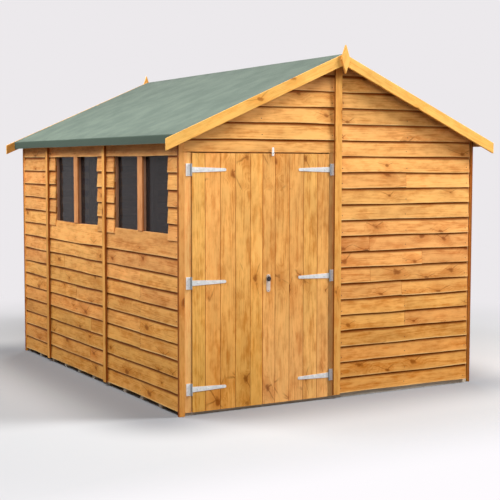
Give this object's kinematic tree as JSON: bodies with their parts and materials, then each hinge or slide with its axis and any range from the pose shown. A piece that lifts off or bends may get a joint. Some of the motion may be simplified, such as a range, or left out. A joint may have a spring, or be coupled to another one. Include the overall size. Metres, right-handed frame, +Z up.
{
  "type": "garden shed",
  "caption": "Lap-boarded timber garden shed with a felted apex roof, double doors in one gable and fixed windows along one side.",
  "frame": {"origin": "bottom centre of the box, on the ground under the middle of the floor", "axes": "+X to the right along the front gable, +Y from the front to the back, +Z up"},
  "size_m": [2.682, 3.236, 2.4389],
  "materials": {
    "boards": "golden dipped softwood, sawn face",
    "door_boards": "golden dipped softwood, planed face",
    "framing": "sawn softwood",
    "roof_deck": "strand board",
    "trim": "pale planed softwood",
    "felt": "green mineral felt",
    "glazing": "clear sheet",
    "hinge_zinc": "bright zinc",
    "button": "bright zinc",
    "lock": "black knob, brass plate"
  },
  "bodies": {
    "shed": {"front_wall_boards": "boards", "front_gable_boards": "boards", "back_wall_boards": "boards", "left_wall_boards": "boards", "window_side_boards": "boards", "window_head_boards": "boards", "right_wall_boards": "boards", "door_posts": "boards", "window_beads": "boards", "window_mullions": "boards", "side_wall_cover_strips": "boards", "gable_cover_strips": "boards", "corner_strips": "boards", "floor_bearers": "framing", "floor_deck": "framing", "front_wall_studs": "framing", "front_wall_rails": "framing", "back_wall_studs": "framing", "back_wall_rails": "framing", "left_wall_studs": "framing", "left_wall_rails": "framing", "right_wall_studs": "framing", "right_wall_rails": "framing", "left_roof_rails": "framing", "right_roof_rails": "framing", "left_roof_deck": "roof_deck", "right_roof_deck": "roof_deck", "front_left_bargeboard": "trim", "front_right_bargeboard": "trim", "back_left_bargeboard": "trim", "back_right_bargeboard": "trim", "finials": "trim", "left_roof_felt": "felt", "right_roof_felt": "felt", "eave_felt_folds": "felt", "window_panes": "glazing", "hinge_plates": "hinge_zinc"},
    "left_door": {"left_door_boards": "door_boards", "left_door_ledges": "framing", "left_hinge_straps": "hinge_zinc"},
    "right_door": {"right_door_boards": "door_boards", "right_door_ledges": "framing", "right_hinge_straps": "hinge_zinc", "door_lock": "lock", "turn_button": "button"}
  },
  "joints": [
    {"name": "left_door_hinge", "type": "hinge", "parent": "shed", "child": "left_door", "pos_m": [-1.1275, -1.523, 0.86], "axis": [0, 0, -1], "range_deg": [0, 170]},
    {"name": "right_door_hinge", "type": "hinge", "parent": "shed", "child": "right_door", "pos_m": [-0.0575, -1.523, 0.86], "axis": [0, 0, 1], "range_deg": [0, 140]}
  ]
}
